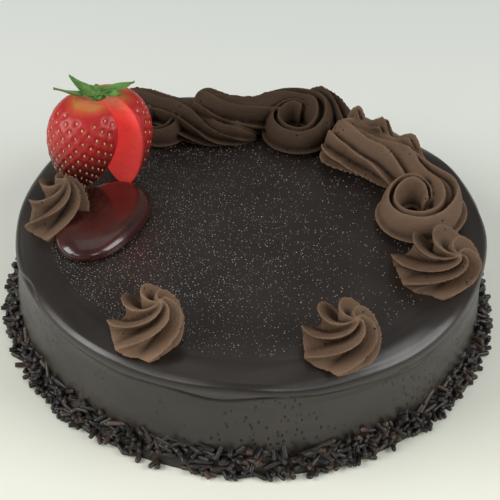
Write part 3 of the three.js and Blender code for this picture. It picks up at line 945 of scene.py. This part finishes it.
def grain_tree():
    """Fine unevenness of whipped cream, pushed along the surface's own direction."""
    tree, given = geometry_tree("cream_grain", [
        ("Grain", "NodeSocketFloat", 0.00016), ("Ripple", "NodeSocketFloat", 0.0004),
        ("Material", "NodeSocketMaterial", None)])
    normal = tree.nodes.new("GeometryNodeInputNormal").outputs[0]
    fine = put(tree, "ShaderNodeTexNoise", {"Scale": 900, "Detail": 3})
    broad = put(tree, "ShaderNodeTexNoise", {"Scale": 110, "Detail": 2})
    push = plus(tree, times(tree, minus(tree, fine, 0.5), given["Grain"]),
                times(tree, minus(tree, broad, 0.5), given["Ripple"]))
    rough = put(tree, "GeometryNodeSetPosition", {
        "Geometry": given["Geometry"], "Offset": scaled(tree, normal, push)})
    end_tree(tree, rough, given["Material"])
    return tree


def vertex_rows(mesh, name):
    """Each point's place or direction as a row of three numbers."""
    values = np.empty(len(mesh.vertices) * 3)
    mesh.vertices.foreach_get(name, values)
    return values.reshape(-1, 3)


def map_ridge_light_and_shade(piece):
    """Stores how far each point stands out from its surroundings, for the painted light on the cream's ridges
    and the painted shade in its grooves.
    """
    mesh = piece.data
    count = len(mesh.vertices)
    place, normal = vertex_rows(mesh, "co"), vertex_rows(mesh, "normal")
    edges = np.empty(len(mesh.edges) * 2, dtype=int)
    mesh.edges.foreach_get("vertices", edges)
    a, b = edges.reshape(-1, 2).T
    neighbours = np.maximum(np.bincount(a, minlength=count) + np.bincount(b, minlength=count), 1)
    smooth = place.copy()
    for _ in range(30):
        total = np.stack([
            np.bincount(a, weights=smooth[b, axis], minlength=count)
            + np.bincount(b, weights=smooth[a, axis], minlength=count) for axis in range(3)], axis=1)
        smooth = total / neighbours[:, None]
    stand_out = ((place - smooth) * normal).sum(axis=1)
    for _ in range(2):
        total = (np.bincount(a, weights=stand_out[b], minlength=count)
                 + np.bincount(b, weights=stand_out[a], minlength=count))
        stand_out = total / neighbours
    paint_values(mesh, "ridge", np.clip(0.5 + stand_out / (1.5 * MM), 0, 1))


def cream_piece(piece, looks, finish, node):
    """Joins overlapping cream in fine cells, roughens it, stores its painted light and shade and hands it
    over.
    """
    remesh = piece.modifiers.new("join", "REMESH")
    remesh.mode = "VOXEL"
    remesh.voxel_size = looks.voxel
    remesh.use_smooth_shade = True
    grain = bpy.data.node_groups.get("cream_grain") or grain_tree()
    use_tree(piece, grain, {"Grain": looks.grain, "Ripple": 0.0004, "Material": finish})
    replace_mesh(piece)
    map_ridge_light_and_shade(piece)
    # Painted light and shade of the whole piece, stored for the cream's colour
    paint_values(piece.data, "painted_light", [CREAM_PAINTED_LIGHT[node]] * len(piece.data.vertices))
    stand_for(piece, "buttercream", node)


class TORTE_OT_piped_scrolls(bpy.types.Operator):
    """Pipes the three overlapping scrolls of the garland"""

    bl_idname = "torte.piped_scrolls"
    bl_label = "Piped scrolls"

    def execute(self, context):
        looks = context.scene.torte_cream
        finish = bpy.data.materials.get("piped_cream") or cream_finish(looks)
        rope = rope_tree()
        for name, definitions in SCROLLS.items():
            piece = stroke_route(name + "_cream", definitions, looks)
            use_tree(piece, rope, {"Scoop": looks.scoop, "Lip": looks.lip, "Lean": looks.lean,
                                   "Sink": 0.0002, "Material": finish})
            cream_piece(piece, looks, finish, name)
        return {"FINISHED"}


def rosette_rings(looks, foot, radius, height, lean, first):
    """Rings of a rosette from its foot to its tip: lobes that twist as they rise."""
    levels = smooth_rows([[0, 0.94], [0.16, 1.03], [0.36, 1.02], [0.54, 0.9], [0.7, 0.68], [0.84, 0.4],
                          [0.94, 0.2], [1, 0.06]], 9)
    samples = 22 * looks.lobes
    turn = np.arange(samples) / samples
    rings = []
    for up, out in levels:
        shift = up**1.6
        twist = math.radians(first + 150 * up**1.5)
        phase = (turn * looks.lobes) % 1
        lobe = np.floor(turn * looks.lobes + 0.5) % looks.lobes
        uneven = 1 + 0.06 * np.sin(3.4 * lobe + first)
        groove = 1 - np.interp(up, [0, 0.2, 0.45, 1], [0.12, 0.4, 0.64, 0.7])
        between = np.maximum(1 - (1 - phase) ** looks.scoop, 1 - phase / looks.lip)
        reach = uneven * (1 - between) + groove * between
        angle = twist + 2 * math.pi * turn + looks.lean * 1.6 * (1 - between)
        r = radius * out * reach
        rings.append(np.stack([
            foot[0] + lean[0] * shift + r * np.cos(angle),
            foot[1] + lean[1] * shift + r * np.sin(angle),
            CAKE_TOP / MM - 0.2 + height * up
            + (2 + 5 * np.clip(np.sin(angle - 0.3), 0, 1)) * (1 - between) * math.sin(math.pi * up)], axis=1))
    return np.array(rings) * MM


class TORTE_OT_rosettes(bpy.types.Operator):
    """Pipes the three rosettes and the swirl that ends the garland"""

    bl_idname = "torte.rosettes"
    bl_label = "Rosettes"

    def execute(self, context):
        looks = context.scene.torte_cream
        finish = bpy.data.materials.get("piped_cream") or cream_finish(looks)
        for name, shape in ROSETTES.items():
            points, faces = closed_rings(rosette_rings(looks, **shape))
            piece = mesh_piece(name + "_cream", points, faces, finish)
            cream_piece(piece, looks, finish, name)
        return {"FINISHED"}


# The strawberry and the jam

def berry_surface(looks, tip, crown, up, turn):
    """A place on the half berry's skin; up runs 0 to 1 and turn is in radians round its axis."""
    shape = smooth_rows(BERRY_SHAPE, 8)
    out = np.interp(up, shape[:, 0], shape[:, 1]) * looks.radius
    x = np.interp(up, [0, 1], [tip[0], crown[0]]) * MM
    y = np.interp(up, [0, 1], [tip[1], crown[1]]) * MM
    high = CAKE_TOP + looks.height * up
    return np.stack(np.broadcast_arrays(x + out * np.cos(turn), y + out * np.sin(turn), high), axis=-1)


def seed_spots(looks, facing):
    """Seeds along a spiral round the berry, kept where they lie on this half's skin."""
    spots = []
    for k in range(looks.seeds):
        up = 0.05 + 0.88 * (k + 0.5) / looks.seeds
        turn = (k * 137.508 + 31) % 360
        away = (turn - facing + 180) % 360 - 180
        if abs(away) < 86:
            spots.append((up, math.radians(turn)))
    return spots


def berry_half(name, looks, finish, tip, crown, facing):
    """One half: dimpled skin, a flat cut face and closed ends."""
    rows, columns, face_columns = 90, 96, 16
    up = np.linspace(0, 1, rows)
    turn = np.radians(np.linspace(facing - 90, facing + 90, columns))
    grid = berry_surface(looks, tip, crown, up[:, None], turn[None, :])
    sink = np.zeros((rows, columns))
    for seed_up, seed_turn in seed_spots(looks, facing):
        spot = berry_surface(looks, tip, crown, np.array(seed_up), np.array(seed_turn))
        far = np.linalg.norm(grid - spot, axis=2) / MM
        sink = np.maximum(sink, np.exp(-(far / 1.25) ** 2))
    outward = np.stack([np.cos(turn), np.sin(turn), np.zeros(columns)], axis=1)
    edge = np.clip((90 - np.abs(np.linspace(-90, 90, columns))) / 12, 0, 1)
    grid = grid - outward[None] * (sink * looks.dimple * edge[None])[..., None]
    face = []
    for row in range(rows):
        a, b = grid[row, -1], grid[row, 0]
        face.append([a + (b - a) * (i / (face_columns + 1)) for i in range(1, face_columns + 1)])
    rings = np.concatenate([grid, np.array(face)], axis=1)
    total = columns + face_columns
    points, faces = closed_rings(rings)
    piece = mesh_piece(name + "_flesh", points, faces, finish)
    rise = np.concatenate([np.repeat(up, total), [0, 1]])
    cut = np.concatenate([np.tile(np.r_[np.zeros(columns), np.ones(face_columns)], rows), [0.5, 0.5]])
    across = np.abs(np.linspace(-1, 1, face_columns))
    core = np.concatenate([np.tile(np.r_[np.ones(columns), across], rows), [1, 1]])
    core = 1 - np.clip((rise - 0.72) / 0.25, 0, 1) * (1 - 0.55 * core)
    paint_values(piece.data, "rise", rise)
    paint_values(piece.data, "cut", cut)
    paint_values(piece.data, "core", core)
    return piece


def seed_tree():
    """Seeds set into the skin: small pointed beads, each lying up and down the berry."""
    tree, given = geometry_tree("strawberry_seeds", [
        ("Length", "NodeSocketFloat", 0.0013), ("Material", "NodeSocketMaterial", None)])
    bead = put(tree, "GeometryNodeMeshUVSphere", {"Segments": 8, "Rings": 6, "Radius": 0.5})
    width = times(tree, given["Length"], 0.62)
    thick = times(tree, given["Length"], 0.42)
    sized = vector(tree, thick, width, given["Length"])
    yaw = vector(tree, 0, 0, named(tree, "turn"))
    seeds = put(tree, "GeometryNodeInstanceOnPoints", {
        "Points": given["Geometry"], "Instance": bead, "Rotation": yaw, "Scale": sized})
    end_tree(tree, seeds, given["Material"])
    return tree


class TORTE_OT_strawberry(bpy.types.Operator):
    """Makes the split strawberry: two halves and their seeds"""

    bl_idname = "torte.strawberry"
    bl_label = "Strawberry"

    def execute(self, context):
        looks = context.scene.torte_fruit
        finish = skin_finish(looks)
        seeds_finish = seed_finish()
        tree = seed_tree()
        for name, shape in BERRY_HALVES.items():
            half = berry_half(name, looks, finish, **shape)
            stand_for(half, "strawberry", name)
            spots = seed_spots(looks, shape["facing"])
            places = [berry_surface(looks, shape["tip"], shape["crown"], np.array(up), np.array(turn))
                      for up, turn in spots]
            sunk = [place - 0.62 * looks.dimple * np.array([math.cos(turn), math.sin(turn), 0])
                    for place, (up, turn) in zip(places, spots)]
            seeds = mesh_piece(name + "_seeds", sunk, [], seeds_finish)
            paint_values(seeds.data, "turn", [turn for up, turn in spots])
            use_tree(seeds, tree, {"Length": looks.seed_length, "Material": seeds_finish})
            stand_for(replace_mesh(seeds), "strawberry", name)
        return {"FINISHED"}


def leaf_points(root, direction, rise, length, width):
    """A thin wavy leaf with a folded middle: rings from its root to its point."""
    along = np.array([math.cos(direction), math.sin(direction), 0])
    across = np.array([-math.sin(direction), math.cos(direction), 0])
    shares = smooth_rows([[0, 0.3], [0.2, 0.8], [0.45, 1], [0.7, 0.74], [0.88, 0.36], [1, 0.03]], 5)
    rings = []
    for t, share in shares:
        lift = rise * t * t + 0.5 * math.sin(5 * t + direction)
        middle = np.array(root) + along * t * length + np.array([0, 0, lift])
        ring = []
        for side in list(np.linspace(-1, 1, 9)) + list(np.linspace(0.94, -0.94, 8)):
            top = len(ring) >= 9
            thick = 0.28 if top else -0.28
            curl = 0.9 * abs(side) ** 1.5 + 0.35 * math.sin(9 * t + 2 * side)
            half = width / 2 * share
            high = curl + thick * (1 - 0.75 * abs(side))
            ring.append(middle + across * side * half + np.array([0, 0, high]))
        rings.append(ring)
    return np.array(rings) * MM


class TORTE_OT_calyx(bpy.types.Operator):
    """Makes the strawberry's green leaves and stem"""

    bl_idname = "torte.calyx"
    bl_label = "Calyx"

    def execute(self, context):
        looks = context.scene.torte_fruit
        finish = leaf_finish(looks)
        root = (*CALYX_HUB, (CAKE_TOP + looks.height) / MM + 1.1)
        shapes = [leaf_points(root, math.radians(direction), rise, length, width)
                  for direction, length, width, rise in LEAVES]
        stem = [[np.array(root) + [r * math.cos(a), r * math.sin(a), z]
                 for a in np.linspace(0, 2 * math.pi, 16, endpoint=False)] for z, r in STEM_SHAPE]
        points, faces = [], []
        for rings in [*shapes, np.array(stem) * MM]:
            more_points, more_faces = closed_rings(rings)
            faces += [tuple(v + len(points) for v in face) for face in more_faces]
            points += list(more_points)
        stand_for(mesh_piece("calyx_leaves", points, faces, finish), "leaf", "strawberry_calyx")
        return {"FINISHED"}


class TORTE_OT_jam(bpy.types.Operator):
    """Pours the pool of jam"""

    bl_idname = "torte.jam"
    bl_label = "Jam"

    def execute(self, context):
        looks = context.scene.torte_fruit
        levels = smooth_rows([[0, 0.93], [0.12, 0.985], [0.25, 1], [0.55, 0.97], [0.8, 0.86], [0.92, 0.7],
                              [0.98, 0.45], [1, 0.1]], 5)
        angle = np.linspace(0, 2 * math.pi, 120, endpoint=False)
        turned = angle - math.radians(JAM["turn"])
        oval = 1 / np.hypot(np.cos(turned) / JAM["long"], np.sin(turned) / JAM["short"])
        rings = []
        for up, out in levels:
            r = oval * out * (1 + 0.03 * np.sin(3 * angle))
            high = CAKE_TOP / MM - 0.1 + JAM["height"] * up
            rings.append(np.stack([JAM["middle"][0] + r * np.cos(angle), JAM["middle"][1] + r * np.sin(angle),
                                   np.full_like(angle, high)], axis=1))
        points, faces = closed_rings(np.array(rings) * MM)
        stand_for(mesh_piece("jam", points, faces, jam_finish(looks)), "jam", "jam_pool")
        return {"FINISHED"}


# The stage

def soft_light(name, place, size, power):
    """A soft square light that faces the origin."""
    data = bpy.data.lights.new(name, "AREA")
    data.size = size
    data.energy = power
    light = bpy.data.objects.new(name, data)
    light.location = place
    light.rotation_euler = (-Vector(place)).to_track_quat("-Z", "Y").to_euler()
    bpy.context.collection.objects.link(light)


class TORTE_OT_stage(bpy.types.Operator):
    """Sets the pale floor with its painted light, the soft lights and the camera"""

    bl_idname = "torte.stage"
    bl_label = "Stage"

    def execute(self, context):
        finish, tree, shader, place = finish_base("floor_painted_light", 0.8)
        # Painted light: the floor is painted lighter and creamier at the front and darker towards the back,
        # as the light falls off
        depth = add(tree, "ShaderNodeSeparateXYZ", {"Vector": place}).outputs[1]
        cloudy = plus(tree, depth, times(tree, noise(tree, place, 3, 2), 0.05))
        tint = ramp(tree, spread(tree, cloudy, -0.2, 0.25, 0, 1), (0.0, (0.96, 0.96, 0.81)),
                    (1.0, (0.82, 0.85, 0.80)))
        tree.links.new(tint, shader.inputs["Base Color"])
        floor = mesh_piece("floor", [(-4, -4, 0), (4, -4, 0), (4, 4, 0), (-4, 4, 0)], [(0, 1, 2, 3)], finish)
        world = bpy.data.worlds.new("studio")
        world.use_nodes = True
        background = world.node_tree.nodes["Background"].inputs
        background["Color"].default_value = (0.94, 0.97, 0.95, 1)
        background["Strength"].default_value = 0.17
        context.scene.world = world
        context.scene.view_settings.view_transform = "Standard"
        for light in LIGHTS:
            soft_light(*light)
        data = bpy.data.cameras.new("camera")
        data.sensor_width = 36
        data.lens = CAMERA["lens"]
        camera = bpy.data.objects.new("camera", data)
        ahead = Vector(CAMERA["target"]) - Vector(CAMERA["place"])
        roll = Matrix.Rotation(math.radians(CAMERA["roll"]), 3, "Z")
        turn = ahead.to_track_quat("-Z", "Y").to_matrix() @ roll
        camera.matrix_world = Matrix.Translation(CAMERA["place"]) @ turn.to_4x4()
        context.collection.objects.link(camera)
        context.scene.camera = camera
        return {"FINISHED"}


STEPS = ["glazed_cake", "glaze_bubbles", "chocolate_strands", "piped_scrolls", "rosettes", "strawberry",
         "calyx", "jam", "stage"]


class TORTE_PT_panel(bpy.types.Panel):
    """Lists the torte's pieces and their looks"""

    bl_label = "Torte"
    bl_idname = "TORTE_PT_panel"
    bl_space_type = "VIEW_3D"
    bl_region_type = "UI"
    bl_category = "Torte"

    def draw(self, context):
        for group in (context.scene.torte_cake, context.scene.torte_cream, context.scene.torte_fruit):
            box = self.layout.box()
            for key in group.bl_rna.properties.keys():
                if key not in {"rna_type", "name"}:
                    box.prop(group, key)
        for step in STEPS:
            self.layout.operator("torte." + step)


CLASSES = (CakeLooks, CreamLooks, FruitLooks, TORTE_OT_glazed_cake, TORTE_OT_glaze_bubbles,
           TORTE_OT_chocolate_strands, TORTE_OT_piped_scrolls, TORTE_OT_rosettes, TORTE_OT_strawberry,
           TORTE_OT_calyx, TORTE_OT_jam, TORTE_OT_stage, TORTE_PT_panel)


def register():
    for kind in CLASSES:
        bpy.utils.register_class(kind)
    bpy.types.Scene.torte_cake = PointerProperty(type=CakeLooks)
    bpy.types.Scene.torte_cream = PointerProperty(type=CreamLooks)
    bpy.types.Scene.torte_fruit = PointerProperty(type=FruitLooks)


def unregister():
    del bpy.types.Scene.torte_cake
    del bpy.types.Scene.torte_cream
    del bpy.types.Scene.torte_fruit
    for kind in reversed(CLASSES):
        bpy.utils.unregister_class(kind)


def main():
    register()
    for step in STEPS:
        getattr(bpy.ops.torte, step)()


if __name__ == "__main__":
    main()
